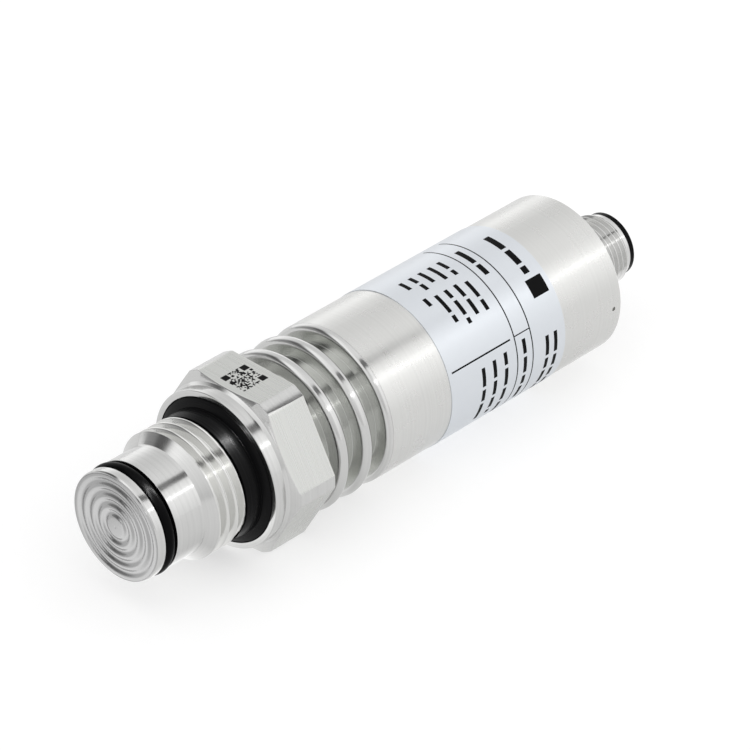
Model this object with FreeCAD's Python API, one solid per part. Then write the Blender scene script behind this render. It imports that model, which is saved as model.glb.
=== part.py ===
import FreeCAD, Part
import math
import os

# Pressure transmitter with a flush corrugated diaphragm, a finned cooling neck and an M12 plug.
# Units are millimetres. The part lies on one hexagon flat: +X runs from the diaphragm to the
# plug, +Z is up, and the origin is the middle of the footprint, on the surface it lies on.
# While it is built, the turning axis is the X axis and the diaphragm face is at x = 0.

V = FreeCAD.Vector

# Nose with the diaphragm
NOSE_D = 18.0
NOSE_LAND_L = 1.5
NOSE_EDGE = 0.25
DIAPHRAGM_T = 0.2
DIAPHRAGM_D = 17.7
FLAT_CENTRE_D = 3.2
WAVES = 4
WAVE_PITCH = 1.72
WAVE_DEPTH = 0.22
WAVE_FLANK = 0.5
TROUGH_W = 0.4
OIL_GAP_D = 17.0
OIL_GAP_CLEAR = 0.3
CAPILLARY_D = 1.5

# Nose seal and spigot
NOSE_RING_SECTION = 2.0
NOSE_RING_PROUD = 0.2
NOSE_GROOVE_W = 2.4
SPIGOT_L = 5.57
EDGE_BREAK = 0.12

# Process thread, a G 1/2 drawn at its major diameter
THREAD_D = 20.955
THREAD_L = 5.45
RELIEF_D = 18.4
RELIEF_L = 3.9

# Profile seal ring in the recess of the collar
SEAL_RECESS_D = 24.0
SEAL_RECESS_DEPTH = 1.6
SEAL_BUSH_D = 20.9
SEAL_BUSH_L = 2.8
SEAL_LIP_L = 0.5
SEAL_NOTCH = 0.3
SEAL_STEP = 0.08
SEAL_FIT = 0.03

# Collar and wrench hexagon
COLLAR_D = 26.0
COLLAR_L = 2.0
HEX_STEP = 0.1
COLLAR_CONE_L = 0.5
HEX_AF = 27.0
HEX_TURNED_D = 30.0
HEX_FACE_ANGLE = 20.0
HEX_L = 7.85

# Cooling neck
FIN_COUNT = 2
FIN_T = 2.0
FIN_PROUD = 0.025
FIN_HEIGHT = 2.15
FIN_GAP = 3.05
SHOULDER_T = 1.1
SHOULDER_R = 1.0

# Housing tube with its closed rear end
HOUSING_D = 26.75
HOUSING_WALL = 1.25
HOUSING_L = 51.6
REAR_WALL = 1.2
REAR_EDGE = 0.3
JOINT_L = 8.0
JOINT_FIT = 0.03
HOUSING_RING_SECTION = 1.5
HOUSING_RING_SQUEEZE = 0.2
HOUSING_RING_GROOVE_W = 2.0
HOUSING_RING_INSET = 2.4
VENT_D = 0.7
VENT_FILTER_D = 1.1
VENT_FILTER_T = 0.6
VENT_FILTER_FIT = 0.02
VENT_INSET = 1.88

# Label wrapped round the housing
LABEL_START = 12.7
LABEL_L = 25.6
LABEL_T = 0.1
LABEL_SEAM = 3.0
LABEL_SEAM_ANGLE = -44.0

# Pressure sensor behind the neck
CHAMBER_L = 1.8
HEADER_D = 12.8
HEADER_SEAT = 0.9
HEADER_T = 3.0
HEADER_FIT = 0.03
RETAINER_L = 2.0
RETAINER_WALL = 1.4
RETAINER_SLOT_W = 1.6
RETAINER_SLOT_DEPTH = 0.8
PEDESTAL_D = 2.6
PEDESTAL_BORE_D = 0.8
PEDESTAL_L = 0.8
CHIP_SIDE = 2.4
CHIP_T = 0.5
DISPLACER_FIT = 0.15
LEAD_COUNT = 5
LEAD_D = 0.45
LEAD_INSET = 1.2
LEAD_REACH = 4.2
LEAD_TIP = 0.35
LEAD_FIT = 0.05
GLASS_BEAD_D = 1.4
FILL_HOLE_D = 0.8
FILL_HOLE_L = 7.8
FILL_BALL_D = 1.3
FILL_SCREW_D = 2.0
FILL_SCREW_L = 1.8
FILL_SCREW_SINK = 0.4
FILL_SOCKET_AF = 0.9
FILL_SOCKET_DEPTH = 0.9
FILL_FIT = 0.01

# Electronics
ROUND_BOARD_GAP = 0.825
BOARD_T = 1.0
MAIN_BOARD_L = 28.0
CARRIER_L = 5.0
CARRIER_WALL = 2.2
CARRIER_LEFT = 1.275
CARRIER_GRIP = 3.0
CARRIER_SLOT_FIT = 0.05
SLEEVE_T = 0.25
SLEEVE_L = 36.0
SLEEVE_GAP = 0.3
SLEEVE_FIT = 0.05
CHIP_BODY = (7.0, 5.0, 1.5)
CHIP_LEG_COUNT = 5
CHIP_LEG_W = 0.4
CHIP_LEG_T = 0.2
CHIP_LEG_REACH = 0.9
CHIP_LEG_FOOT = 0.7
CHIP_STAND = 0.1
CHIP_INSET = 6.0
CAPACITOR_SIZE = (3.2, 1.6, 1.2)
CAPACITOR_COUNT = 4
CAPACITOR_PITCH = 3.6
CAPACITOR_GAP = 1.5
SUPPRESSOR_SIZE = (4.3, 2.6, 2.1)
SUPPRESSOR_COUNT = 2
SUPPRESSOR_PITCH = 5.4
SUPPRESSOR_INSET = 8.0

# M12 plug
PLUG_FLANGE_D = 15.0
PLUG_FLANGE_T = 1.6
PLUG_FLANGE_EDGE = 0.3
PLUG_NECK_D = 10.6
PLUG_NECK_L = 1.5
PLUG_THREAD_D = 12.0
PLUG_THREAD_EDGE = 0.3
PLUG_THREAD_L = 6.6
PLUG_TIP_D = 10.9
PLUG_TIP_L = 0.75
PLUG_TAIL_D = 11.0
PLUG_TAIL_L = 5.2
PLUG_TAIL_EDGE = 0.3
PLUG_BORE_D = 9.7
PLUG_TAIL_FIT = 0.1
RIM_D = 10.8
RIM_L = 1.05
RIM_EDGE = 0.15
INSERT_WALL = 0.5
INSERT_FIT = 0.02
CAVITY_L = 8.6
KEY_W = 0.9
KEY_H = 0.55
KEY_INSET = 1.0
PIN_COUNT = 4
PIN_D = 1.0
PIN_CIRCLE_D = 5.0
PIN_RECESS = 2.0
PIN_BEVEL = 0.25
PIN_TAIL_L = 2.2
FLANGE_RING_SECTION = 1.0
FLANGE_RING_D = 12.6
FLANGE_RING_SQUEEZE = 0.15
FLANGE_GROOVE_W = 1.1
RING_BEVEL = 0.3
NUT_AF = 14.0
NUT_L = 2.5
NUT_FIT = 0.02
WIRE_D = 0.7
WIRE_LIFT = 0.1
WIRE_ON_BOARD = 3.0

# Stations along the turning axis, from the diaphragm face to the plug's tip
X_GROOVE = NOSE_LAND_L + DIAPHRAGM_T
X_SPIGOT = X_GROOVE + NOSE_GROOVE_W
X_LEAD = X_SPIGOT + SPIGOT_L
X_THREAD = X_LEAD + (THREAD_D - NOSE_D) / 2
X_RELIEF = X_THREAD + THREAD_L
X_COLLAR = X_RELIEF + RELIEF_L
X_HEX = X_COLLAR + COLLAR_L + COLLAR_CONE_L
X_NECK = X_HEX + HEX_L
X_SHOULDER = X_NECK + FIN_COUNT * (FIN_GAP + FIN_T) + FIN_GAP
X_HOUSING = X_SHOULDER + SHOULDER_T
X_JOINT_END = X_HOUSING + JOINT_L
X_REAR = X_HOUSING + HOUSING_L
X_PLUG_NECK = X_REAR + PLUG_FLANGE_T
X_PLUG_THREAD = X_PLUG_NECK + PLUG_NECK_L
X_PLUG_TIP = X_PLUG_THREAD + PLUG_THREAD_L
X_RIM = X_PLUG_TIP + (PLUG_THREAD_D - PLUG_TIP_D) / 2 + PLUG_TIP_L
OVERALL_L = X_RIM + RIM_L

# Sizes that follow from the hexagon, the housing and the sensor's bore
COLLAR_CONE_D = HEX_AF - 2 * HEX_STEP
FIN_D = HOUSING_D + 2 * FIN_PROUD
NECK_D = FIN_D - 2 * FIN_HEIGHT
BORE_D = HOUSING_D - 2 * HOUSING_WALL
RING_GROOVE_D = BORE_D - 2 * HOUSING_RING_SECTION + 2 * HOUSING_RING_SQUEEZE
HEADER_BORE_D = HEADER_D + 2 * HEADER_FIT
CHAMBER_D = HEADER_D - 2 * HEADER_SEAT
LEAD_CIRCLE_D = CHAMBER_D - 2 * LEAD_INSET
FILL_HOLE_R = (HEADER_BORE_D + RING_GROOVE_D) / 4
SLEEVE_D = BORE_D - 2 * SLEEVE_FIT
SLEEVE_BORE_D = SLEEVE_D - 2 * SLEEVE_T
ROUND_BOARD_D = SLEEVE_BORE_D - 2 * ROUND_BOARD_GAP
CARRIER_D = SLEEVE_BORE_D - 2 * SLEEVE_FIT
MAIN_BOARD_W = CARRIER_D - 2 * CARRIER_LEFT
HEADER_BACK = X_JOINT_END - RETAINER_L
HEADER_FRONT = HEADER_BACK - HEADER_T
CHAMBER_FRONT = HEADER_FRONT - CHAMBER_L
ROUND_BOARD_X = HEADER_BACK + LEAD_REACH
MAIN_BOARD_X = ROUND_BOARD_X + BOARD_T
MAIN_BOARD_END = MAIN_BOARD_X + MAIN_BOARD_L
CAVITY_FLOOR = OVERALL_L - CAVITY_L
TAIL_END = X_REAR - PLUG_TAIL_L


def outline(start, *moves):
    """Closed face in the axial plane. A pair of numbers draws a line, two pairs draw an arc."""
    edges = []
    here = V(start[0], 0, start[1])
    for move in moves + (start,):
        if isinstance(move[0], tuple):
            middle = V(move[0][0], 0, move[0][1])
            there = V(move[1][0], 0, move[1][1])
            edges.append(Part.Arc(here, middle, there).toShape())
        else:
            there = V(move[0], 0, move[1])
            edges.append(Part.LineSegment(here, there).toShape())
        here = there
    return Part.Face(Part.Wire(edges))


def turned(start, *moves):
    """Solid of revolution about the X axis from an axial outline."""
    return outline(start, *moves).revolve(V(0, 0, 0), V(1, 0, 0), 360)


def rod(diameter, x_from, x_to, side=0.0, up=0.0):
    """Cylinder along X."""
    return Part.makeCylinder(diameter / 2, x_to - x_from, V(x_from, side, up), V(1, 0, 0))


def tube(outer, inner, x_from, x_to):
    """Plain ring along X."""
    return rod(outer, x_from, x_to).cut(rod(inner, x_from, x_to))


def block(x_from, length, width, height, side=0.0, up=0.0):
    """Box with its width and height centred on a line along X."""
    corner = V(x_from, side - width / 2, up - height / 2)
    return Part.makeBox(length, width, height, corner)


def circle_point(diameter, angle):
    """Side and up of a point on a circle round the axis, angle in degrees from +Y towards +Z."""
    turn = math.radians(angle)
    return diameter / 2 * math.cos(turn), diameter / 2 * math.sin(turn)


def section_ring(x_centre, inner_d, section):
    """O-ring of round section lying on an inner diameter."""
    ring = Part.makeTorus(inner_d / 2 + section / 2, section / 2, V(0, 0, 0), V(1, 0, 0))
    ring.translate(V(x_centre, 0, 0))
    return ring


def squeezed_ring(x_centre, inner_d, outer_d, width):
    """O-ring pressed flat between two walls, with bevelled shoulders instead of its round sides."""
    bevel = (outer_d - inner_d) / 2 * RING_BEVEL
    low = inner_d / 2
    high = outer_d / 2
    front = x_centre - width / 2
    back = x_centre + width / 2
    return turned((front, low + bevel), (front, high - bevel), (front + bevel, high),
                  (back - bevel, high), (back, high - bevel), (back, low + bevel),
                  (back - bevel, low), (front + bevel, low))


def hexagon(across_flats, x_from, x_to):
    """Hexagonal bar along X with flats facing up and down."""
    corner_r = across_flats / 2 / math.cos(math.radians(30))
    points = []
    for index in range(7):
        side, up = circle_point(2 * corner_r, 60 * index)
        points.append(V(x_from, side, up))
    return Part.Face(Part.makePolygon(points)).extrude(V(x_to - x_from, 0, 0))


def fitting_profile():
    """Outside of the fitting from the nose to the rear joint, as one turned solid."""
    nose = NOSE_D / 2
    floor_r = nose + NOSE_RING_PROUD - NOSE_RING_SECTION
    neck = NECK_D / 2
    moves = [
        (DIAPHRAGM_T, nose - NOSE_EDGE),
        (DIAPHRAGM_T + NOSE_EDGE, nose),
        (X_GROOVE - EDGE_BREAK, nose),
        (X_GROOVE, nose - EDGE_BREAK),
        (X_GROOVE, floor_r),
        (X_SPIGOT, floor_r),
        (X_SPIGOT, nose - EDGE_BREAK),
        (X_SPIGOT + EDGE_BREAK, nose),
        (X_LEAD, nose),
        (X_THREAD, THREAD_D / 2),
        (X_RELIEF, THREAD_D / 2),
        (X_RELIEF, RELIEF_D / 2),
        (X_COLLAR + SEAL_RECESS_DEPTH, RELIEF_D / 2),
        (X_COLLAR + SEAL_RECESS_DEPTH, SEAL_RECESS_D / 2),
        (X_COLLAR, SEAL_RECESS_D / 2),
        (X_COLLAR, COLLAR_D / 2 - EDGE_BREAK),
        (X_COLLAR + EDGE_BREAK, COLLAR_D / 2),
        (X_COLLAR + COLLAR_L, COLLAR_D / 2),
        (X_HEX, COLLAR_CONE_D / 2),
        (X_HEX, neck),
    ]
    moves += neck_moves(neck)
    moves += joint_moves()
    moves.append((X_JOINT_END, 0))
    return turned((DIAPHRAGM_T, 0), *moves)


def neck_moves(neck):
    """Finned neck: each fin has a fully rounded edge, and the shoulder has one round corner."""
    moves = []
    edge_r = min(FIN_T, FIN_D - NECK_D) / 2
    fin_root = FIN_D / 2 - edge_r
    for index in range(FIN_COUNT):
        front = X_NECK + FIN_GAP + index * (FIN_GAP + FIN_T)
        moves.append((front, neck))
        moves.append((front, fin_root))
        moves.append(((front + FIN_T / 2, FIN_D / 2), (front + FIN_T, fin_root)))
        moves.append((front + FIN_T, neck))
    outer = HOUSING_D / 2
    bend = SHOULDER_R * (1 - math.sqrt(0.5))
    moves.append((X_SHOULDER, neck))
    moves.append((X_SHOULDER, outer - SHOULDER_R))
    moves.append(((X_SHOULDER + bend, outer - bend), (X_SHOULDER + SHOULDER_R, outer)))
    moves.append((X_HOUSING, outer))
    return moves


def joint_moves():
    """Spigot inside the housing, with the groove of the housing seal."""
    spigot = BORE_D / 2 - JOINT_FIT
    groove_x = X_HOUSING + HOUSING_RING_INSET
    groove_r = RING_GROOVE_D / 2
    return [
        (X_HOUSING, spigot),
        (groove_x, spigot),
        (groove_x, groove_r),
        (groove_x + HOUSING_RING_GROOVE_W, groove_r),
        (groove_x + HOUSING_RING_GROOVE_W, spigot),
        (X_JOINT_END - EDGE_BREAK, spigot),
        (X_JOINT_END, spigot - EDGE_BREAK),
    ]


def wrench_hexagon():
    """Hexagon with turned corners and a chamfered front face."""
    turned_r = HEX_TURNED_D / 2
    cone_r = COLLAR_CONE_D / 2
    front_x = X_HEX + (turned_r - cone_r) * math.tan(math.radians(HEX_FACE_ANGLE))
    blank = turned((X_HEX, 0), (X_HEX, cone_r), (front_x, turned_r), (X_NECK, turned_r), (X_NECK, 0))
    return blank.common(hexagon(HEX_AF, X_HEX, X_NECK))


def oil_passages():
    """Gap behind the diaphragm, capillary through the neck, sensor chamber and its bore."""
    gap_end = DIAPHRAGM_T + WAVE_DEPTH + OIL_GAP_CLEAR
    passages = rod(OIL_GAP_D, 0, gap_end)
    passages = passages.fuse(rod(CAPILLARY_D, 0, CHAMBER_FRONT))
    passages = passages.fuse(rod(CHAMBER_D, CHAMBER_FRONT, HEADER_FRONT))
    return passages.fuse(rod(HEADER_BORE_D, HEADER_FRONT, X_JOINT_END))


def fill_passage():
    """Oil fill: a stepped hole from the rear face, and a slanted hole from it into the chamber."""
    end = X_JOINT_END - FILL_HOLE_L
    ball_front = X_JOINT_END - FILL_SCREW_SINK - FILL_SCREW_L - FILL_BALL_D
    passage = rod(FILL_HOLE_D, end, X_JOINT_END, FILL_HOLE_R)
    passage = passage.fuse(rod(FILL_BALL_D, ball_front, X_JOINT_END, FILL_HOLE_R))
    passage = passage.fuse(rod(FILL_SCREW_D, X_JOINT_END - FILL_SCREW_SINK - FILL_SCREW_L,
                               X_JOINT_END, FILL_HOLE_R))
    inner = V(HEADER_FRONT - CHAMBER_L / 2, CHAMBER_D / 2 - FILL_HOLE_D / 2, 0)
    outer = V(end + FILL_HOLE_D / 2, FILL_HOLE_R, 0)
    slanted = Part.makeCylinder(FILL_HOLE_D / 2, (outer - inner).Length, inner, outer - inner)
    return passage.fuse(slanted)


def process_fitting():
    """Turned and milled stainless body: nose, thread, collar, hexagon, neck and joint."""
    body = fitting_profile().fuse(wrench_hexagon())
    body = body.cut(oil_passages())
    return body.cut(fill_passage()).removeSplitter()


def wave_moves(x_crest):
    """Corrugations from the flat centre outwards: sloping flank, trough, flank and ridge."""
    moves = []
    inner = FLAT_CENTRE_D / 2
    for index in range(WAVES):
        start = inner + index * WAVE_PITCH
        moves.append((x_crest, start))
        moves.append((x_crest + WAVE_DEPTH, start + WAVE_FLANK))
        moves.append((x_crest + WAVE_DEPTH, start + WAVE_FLANK + TROUGH_W))
        moves.append((x_crest, start + 2 * WAVE_FLANK + TROUGH_W))
    return moves


def diaphragm():
    """Thin corrugated disc, welded round its edge to the nose."""
    outer = DIAPHRAGM_D / 2
    moves = wave_moves(0) + [(0, outer), (DIAPHRAGM_T, outer)]
    moves += list(reversed(wave_moves(DIAPHRAGM_T)))
    moves.append((DIAPHRAGM_T, 0))
    return turned((0, 0), *moves)


def nose_o_ring():
    """Sealing ring in the nose groove, a little proud of the spigot."""
    inner_d = NOSE_D + 2 * NOSE_RING_PROUD - 2 * NOSE_RING_SECTION
    return section_ring(X_GROOVE + NOSE_GROOVE_W / 2, inner_d, NOSE_RING_SECTION)


def process_seal_ring():
    """Rubber profile ring: a bush behind the thread and a lip in the collar's recess."""
    inner = RELIEF_D / 2 + SEAL_FIT
    bush = SEAL_BUSH_D / 2
    outer = SEAL_RECESS_D / 2 - SEAL_FIT
    back = X_COLLAR + SEAL_RECESS_DEPTH
    crease = X_COLLAR - SEAL_LIP_L
    front = crease - SEAL_BUSH_L
    step = front + SEAL_BUSH_L / 2
    return turned(
        (front, inner),
        (front, bush - SEAL_NOTCH),
        (step, bush - SEAL_STEP),
        (step, bush),
        (crease - SEAL_NOTCH / 2, bush),
        (crease, bush - SEAL_NOTCH),
        (crease, bush + SEAL_STEP),
        (X_COLLAR - SEAL_LIP_L / 2, (bush + outer) / 2),
        (X_COLLAR, outer),
        (back, outer),
        (back, inner),
    )


def housing():
    """Tube with a closed rear end, a hole for the plug and a stepped vent hole."""
    outer = HOUSING_D / 2
    bore = BORE_D / 2
    hole = PLUG_TAIL_D / 2 + PLUG_TAIL_FIT
    body = turned(
        (X_HOUSING, bore),
        (X_HOUSING, outer),
        (X_REAR - REAR_EDGE, outer),
        (X_REAR, outer - REAR_EDGE),
        (X_REAR, hole),
        (X_REAR - REAR_WALL, hole),
        (X_REAR - REAR_WALL, bore),
    )
    body = body.cut(vent_rod(VENT_D, outer + 1, bore - 1))
    return body.cut(vent_rod(VENT_FILTER_D, bore + VENT_FILTER_T, bore - 1))


def vent_rod(diameter, outer_r, inner_r):
    """Cylinder along the vent's axis, which leaves the housing sideways near its rear end."""
    start = V(X_REAR - VENT_INSET, -outer_r, 0)
    return Part.makeCylinder(diameter / 2, outer_r - inner_r, start, V(0, 1, 0))


def vent_filter():
    """Porous plug in the inner step of the vent hole."""
    bore = BORE_D / 2
    return vent_rod(VENT_FILTER_D - 2 * VENT_FILTER_FIT, bore + VENT_FILTER_T, bore + VENT_FILTER_FIT)


def housing_o_ring():
    """Seal between the fitting's spigot and the housing bore."""
    x_centre = X_HOUSING + HOUSING_RING_INSET + HOUSING_RING_GROOVE_W / 2
    return squeezed_ring(x_centre, RING_GROOVE_D, BORE_D, HOUSING_RING_SECTION + HOUSING_RING_SQUEEZE)


def rating_label():
    """Foil wrapped round the housing, with its seam on the side away from the vent."""
    front = X_HOUSING + LABEL_START
    wrap = tube(HOUSING_D + 2 * LABEL_T, HOUSING_D, front, front + LABEL_L)
    seam = block(front, LABEL_L, LABEL_SEAM, HOUSING_D, 0, HOUSING_D / 2)
    seam.rotate(V(0, 0, 0), V(1, 0, 0), LABEL_SEAM_ANGLE - 90)
    return wrap.cut(seam)


def lead_points():
    """Side and up of each sensor lead."""
    return [circle_point(LEAD_CIRCLE_D, 90 + 360 / LEAD_COUNT * index) for index in range(LEAD_COUNT)]


def sensor_header():
    """Steel disc that carries the sensor, with a hole for each glass bead."""
    disc = rod(HEADER_D, HEADER_FRONT, HEADER_BACK)
    disc = disc.cut(rod(PEDESTAL_BORE_D, HEADER_FRONT, HEADER_BACK))
    for side, up in lead_points():
        disc = disc.cut(rod(GLASS_BEAD_D, HEADER_FRONT, HEADER_BACK, side, up))
    return disc


def feedthrough_glass():
    """Glass beads that hold and seal the leads."""
    beads = []
    for side, up in lead_points():
        bead = rod(GLASS_BEAD_D, HEADER_FRONT, HEADER_BACK, side, up)
        beads.append(bead.cut(rod(LEAD_D, HEADER_FRONT, HEADER_BACK, side, up)))
    return Part.makeCompound(beads)


def feedthrough_leads():
    """Leads from the sensor chamber to the round board."""
    leads = []
    for side, up in lead_points():
        leads.append(rod(LEAD_D, HEADER_FRONT - LEAD_TIP, MAIN_BOARD_X + LEAD_TIP, side, up))
    return Part.makeCompound(leads)


def glass_pedestal():
    """Glass tube between the header and the silicon chip."""
    return tube(PEDESTAL_D, PEDESTAL_BORE_D, HEADER_FRONT - PEDESTAL_L, HEADER_FRONT)


def sensor_chip():
    """Silicon pressure cell on the pedestal."""
    return block(HEADER_FRONT - PEDESTAL_L - CHIP_T, CHIP_T, CHIP_SIDE, CHIP_SIDE)


def displacement_ring():
    """Ceramic ring that fills the chamber round the cell, so that less oil is needed."""
    outer = CHAMBER_D - 2 * DISPLACER_FIT
    inner = CHIP_SIDE * math.sqrt(2) + 4 * DISPLACER_FIT
    ring = tube(outer, inner, CHAMBER_FRONT + DISPLACER_FIT, HEADER_FRONT)
    for side, up in lead_points():
        ring = ring.cut(rod(LEAD_D + 2 * DISPLACER_FIT, CHAMBER_FRONT, HEADER_FRONT, side, up))
    return ring


def retaining_ring():
    """Threaded ring that clamps the header in its bore."""
    ring = tube(HEADER_D, HEADER_D - 2 * RETAINER_WALL, HEADER_BACK, X_JOINT_END)
    slot = block(X_JOINT_END - RETAINER_SLOT_DEPTH, RETAINER_SLOT_DEPTH, RETAINER_SLOT_W, HEADER_D)
    return ring.cut(slot)


def fill_ball():
    """Ball pressed in to close the oil fill."""
    centre_x = X_JOINT_END - FILL_SCREW_SINK - FILL_SCREW_L - FILL_BALL_D / 2
    return Part.makeSphere(FILL_BALL_D / 2 - FILL_FIT, V(centre_x, FILL_HOLE_R, 0))


def fill_screw():
    """Grub screw behind the ball, with a hexagon socket."""
    outer_end = X_JOINT_END - FILL_SCREW_SINK
    screw = rod(FILL_SCREW_D - 2 * FILL_FIT, outer_end - FILL_SCREW_L, outer_end, FILL_HOLE_R)
    socket = hexagon(FILL_SOCKET_AF, outer_end - FILL_SOCKET_DEPTH, outer_end)
    socket.translate(V(0, FILL_HOLE_R, 0))
    return screw.cut(socket)


def compensation_board():
    """Round board soldered to the sensor leads."""
    board = rod(ROUND_BOARD_D, ROUND_BOARD_X, ROUND_BOARD_X + BOARD_T)
    for side, up in lead_points():
        board = board.cut(rod(LEAD_D + 2 * LEAD_FIT, ROUND_BOARD_X, MAIN_BOARD_X, side, up))
    return board


def main_board():
    """Board along the axis that makes the output signal."""
    return block(MAIN_BOARD_X, MAIN_BOARD_L, MAIN_BOARD_W, BOARD_T)


def signal_chip():
    """Converter chip with two rows of bent legs, one solid body."""
    length, width, height = CHIP_BODY
    x_from = MAIN_BOARD_X + CHIP_INSET
    top = BOARD_T / 2
    chip = block(x_from, length, width, height - CHIP_STAND, 0, top + (height + CHIP_STAND) / 2)
    step = length / CHIP_LEG_COUNT
    for index in range(CHIP_LEG_COUNT):
        leg_x = x_from + (index + 0.5) * step - CHIP_LEG_W / 2
        for side in (-1, 1):
            chip = chip.fuse(chip_leg(leg_x, side))
    return chip.removeSplitter()


def chip_leg(x_from, side):
    """Bent leg: out from the middle of the body, down, and out again on the board."""
    width, height = CHIP_BODY[1:]
    top = BOARD_T / 2
    thick = CHIP_LEG_T
    knee = width / 2 + CHIP_LEG_REACH / 2
    out = width / 2 + CHIP_LEG_REACH
    middle = top + height / 2
    arm = block(x_from, CHIP_LEG_W, CHIP_LEG_REACH, thick, side * knee, middle)
    drop = block(x_from, CHIP_LEG_W, thick, height / 2 + thick / 2, side * (out - thick / 2),
                 top + height / 4 + thick / 4)
    foot = block(x_from, CHIP_LEG_W, CHIP_LEG_FOOT, thick, side * (out - thick + CHIP_LEG_FOOT / 2),
                 top + thick / 2)
    return arm.fuse(drop).fuse(foot)


def board_capacitors():
    """Row of ceramic capacitors behind the chip."""
    length, width, height = CAPACITOR_SIZE
    parts = []
    x_from = MAIN_BOARD_X + CHIP_INSET + CHIP_BODY[0] + CAPACITOR_GAP
    for index in range(CAPACITOR_COUNT):
        side = (index - (CAPACITOR_COUNT - 1) / 2) * CAPACITOR_PITCH
        parts.append(block(x_from, length, width, height, side, BOARD_T / 2 + height / 2))
    return Part.makeCompound(parts)


def surge_suppressors():
    """Suppressor diodes under the board, near the plug."""
    length, width, height = SUPPRESSOR_SIZE
    parts = []
    x_from = MAIN_BOARD_X + SUPPRESSOR_INSET
    for index in range(SUPPRESSOR_COUNT):
        side = (index - (SUPPRESSOR_COUNT - 1) / 2) * SUPPRESSOR_PITCH
        parts.append(block(x_from, length, width, height, side, -BOARD_T / 2 - height / 2))
    return Part.makeCompound(parts)


def board_carrier():
    """Plastic ring in the sleeve whose two slots grip the edges of the main board."""
    x_from = MAIN_BOARD_END - CARRIER_GRIP
    ring = tube(CARRIER_D, CARRIER_D - 2 * CARRIER_WALL, x_from, x_from + CARRIER_L)
    width = MAIN_BOARD_W + 2 * CARRIER_SLOT_FIT
    return ring.cut(block(x_from, CARRIER_GRIP, width, BOARD_T + 2 * CARRIER_SLOT_FIT))


def insulating_sleeve():
    """Plastic film tube between the boards and the housing."""
    x_from = X_JOINT_END + SLEEVE_GAP
    return tube(SLEEVE_D, SLEEVE_BORE_D, x_from, x_from + SLEEVE_L)


def connector_shell():
    """Stainless M12 shell with its flange outside the rear wall and its tail inside."""
    tail = PLUG_TAIL_D / 2
    bore = PLUG_BORE_D / 2
    major = PLUG_THREAD_D / 2
    tip = PLUG_TIP_D / 2
    groove_in = FLANGE_RING_D / 2
    groove_out = groove_in + FLANGE_GROOVE_W
    groove_x = X_REAR + FLANGE_RING_SECTION - FLANGE_RING_SQUEEZE
    return turned(
        (TAIL_END, bore),
        (TAIL_END, tail - PLUG_TAIL_EDGE),
        (TAIL_END + PLUG_TAIL_EDGE, tail),
        (X_REAR, tail),
        (X_REAR, groove_in),
        (groove_x, groove_in),
        (groove_x, groove_out),
        (X_REAR, groove_out),
        (X_REAR, PLUG_FLANGE_D / 2),
        (X_PLUG_NECK - PLUG_FLANGE_EDGE, PLUG_FLANGE_D / 2),
        (X_PLUG_NECK, PLUG_FLANGE_D / 2 - PLUG_FLANGE_EDGE),
        (X_PLUG_NECK, PLUG_NECK_D / 2),
        (X_PLUG_THREAD, PLUG_NECK_D / 2),
        (X_PLUG_THREAD, major - PLUG_THREAD_EDGE),
        (X_PLUG_THREAD + PLUG_THREAD_EDGE, major),
        (X_PLUG_TIP, major),
        (X_PLUG_TIP + major - tip, tip),
        (X_RIM, tip),
        (X_RIM, bore),
    )


def pin_points():
    """Side and up of each contact pin."""
    return [circle_point(PIN_CIRCLE_D, 45 + 360 / PIN_COUNT * index) for index in range(PIN_COUNT)]


def connector_insert():
    """Black insulator: a rim in front of the shell, a cavity with a key and a floor for the pins."""
    outer = PLUG_BORE_D / 2 - INSERT_FIT
    cavity = outer - INSERT_WALL
    insert = turned(
        (TAIL_END, 0),
        (TAIL_END, outer),
        (X_RIM, outer),
        (X_RIM, RIM_D / 2),
        (OVERALL_L - RIM_EDGE, RIM_D / 2),
        (OVERALL_L, RIM_D / 2 - RIM_EDGE),
        (OVERALL_L, cavity),
        (CAVITY_FLOOR, cavity),
        (CAVITY_FLOOR, 0),
    )
    key_height = KEY_H + INSERT_WALL / 2
    key = block(CAVITY_FLOOR, CAVITY_L - KEY_INSET, KEY_W, key_height, 0, cavity - KEY_H + key_height / 2)
    insert = insert.fuse(key)
    for side, up in pin_points():
        insert = insert.cut(rod(PIN_D, TAIL_END, CAVITY_FLOOR, side, up))
    return insert.removeSplitter()


def contact_pins():
    """Gold-plated pins, bevelled at the tip, with solder tails behind the insert."""
    tip = OVERALL_L - PIN_RECESS
    radius = PIN_D / 2
    pin = turned((TAIL_END - PIN_TAIL_L, 0), (TAIL_END - PIN_TAIL_L, radius), (tip - PIN_BEVEL, radius),
                 (tip, radius - PIN_BEVEL), (tip, 0))
    return Part.makeCompound([pin.translated(V(0, side, up)) for side, up in pin_points()])


def connector_flange_seal():
    """O-ring in the flange, pressed on the rear wall."""
    height = FLANGE_RING_SECTION - FLANGE_RING_SQUEEZE
    outer_d = FLANGE_RING_D + 2 * FLANGE_RING_SECTION
    return squeezed_ring(X_REAR + height / 2, FLANGE_RING_D, outer_d, height)


def connector_lock_nut():
    """Nut on the tail of the shell, tight against the inside of the rear wall."""
    back = X_REAR - REAR_WALL
    nut = hexagon(NUT_AF, back - NUT_L, back)
    return nut.cut(rod(PLUG_TAIL_D + 2 * NUT_FIT, back - NUT_L, back))


def lead_wire(side, up):
    """One straight wire from just behind a pin down to the surface of the board."""
    surface = math.copysign(BOARD_T / 2 + WIRE_D / 2 + WIRE_LIFT, up)
    start = V(TAIL_END - PIN_TAIL_L - WIRE_LIFT, side, up)
    end = V(MAIN_BOARD_END - WIRE_ON_BOARD, side, surface)
    return Part.makeCylinder(WIRE_D / 2, (end - start).Length, start, end - start)


def lead_wires():
    """Wires between the plug and the main board."""
    return Part.makeCompound([lead_wire(side, up) for side, up in pin_points()])


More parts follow.
